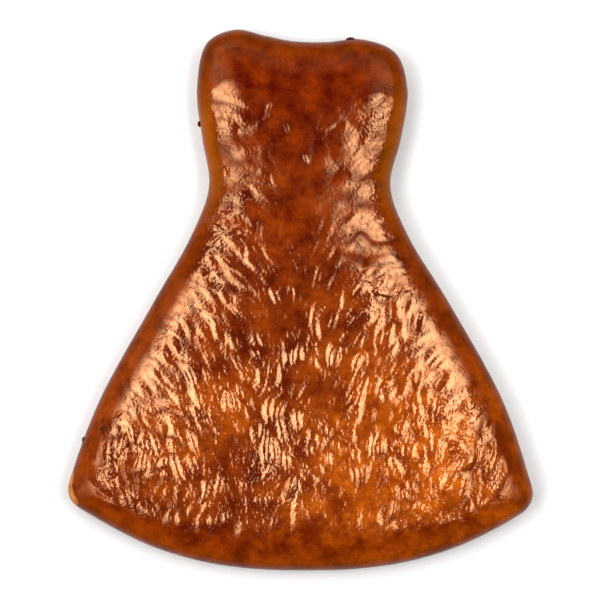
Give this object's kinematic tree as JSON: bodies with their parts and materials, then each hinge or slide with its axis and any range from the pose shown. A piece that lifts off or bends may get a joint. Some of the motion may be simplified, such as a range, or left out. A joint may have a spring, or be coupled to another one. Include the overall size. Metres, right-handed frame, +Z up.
{
  "type": "gingerbread dress cookie",
  "caption": "Glazed gingerbread cookie cut as a strapless dress with a flared skirt, lying flat with its wrinkled shiny side up.",
  "frame": {"origin": "on the resting surface, under the middle of the cookie's bounding box", "axes": "+Z up out of the glazed face, +Y from the skirt's hem to the neckline, +X across the dress to the viewer's right"},
  "size_m": [0.0816, 0.095, 0.0101],
  "materials": {
    "glazed_crust": "baked egg glaze, satin, wrinkled and mottled"
  },
  "bodies": {
    "root": {"gingerbread_dress": "glazed_crust"}
  },
  "joints": []
}
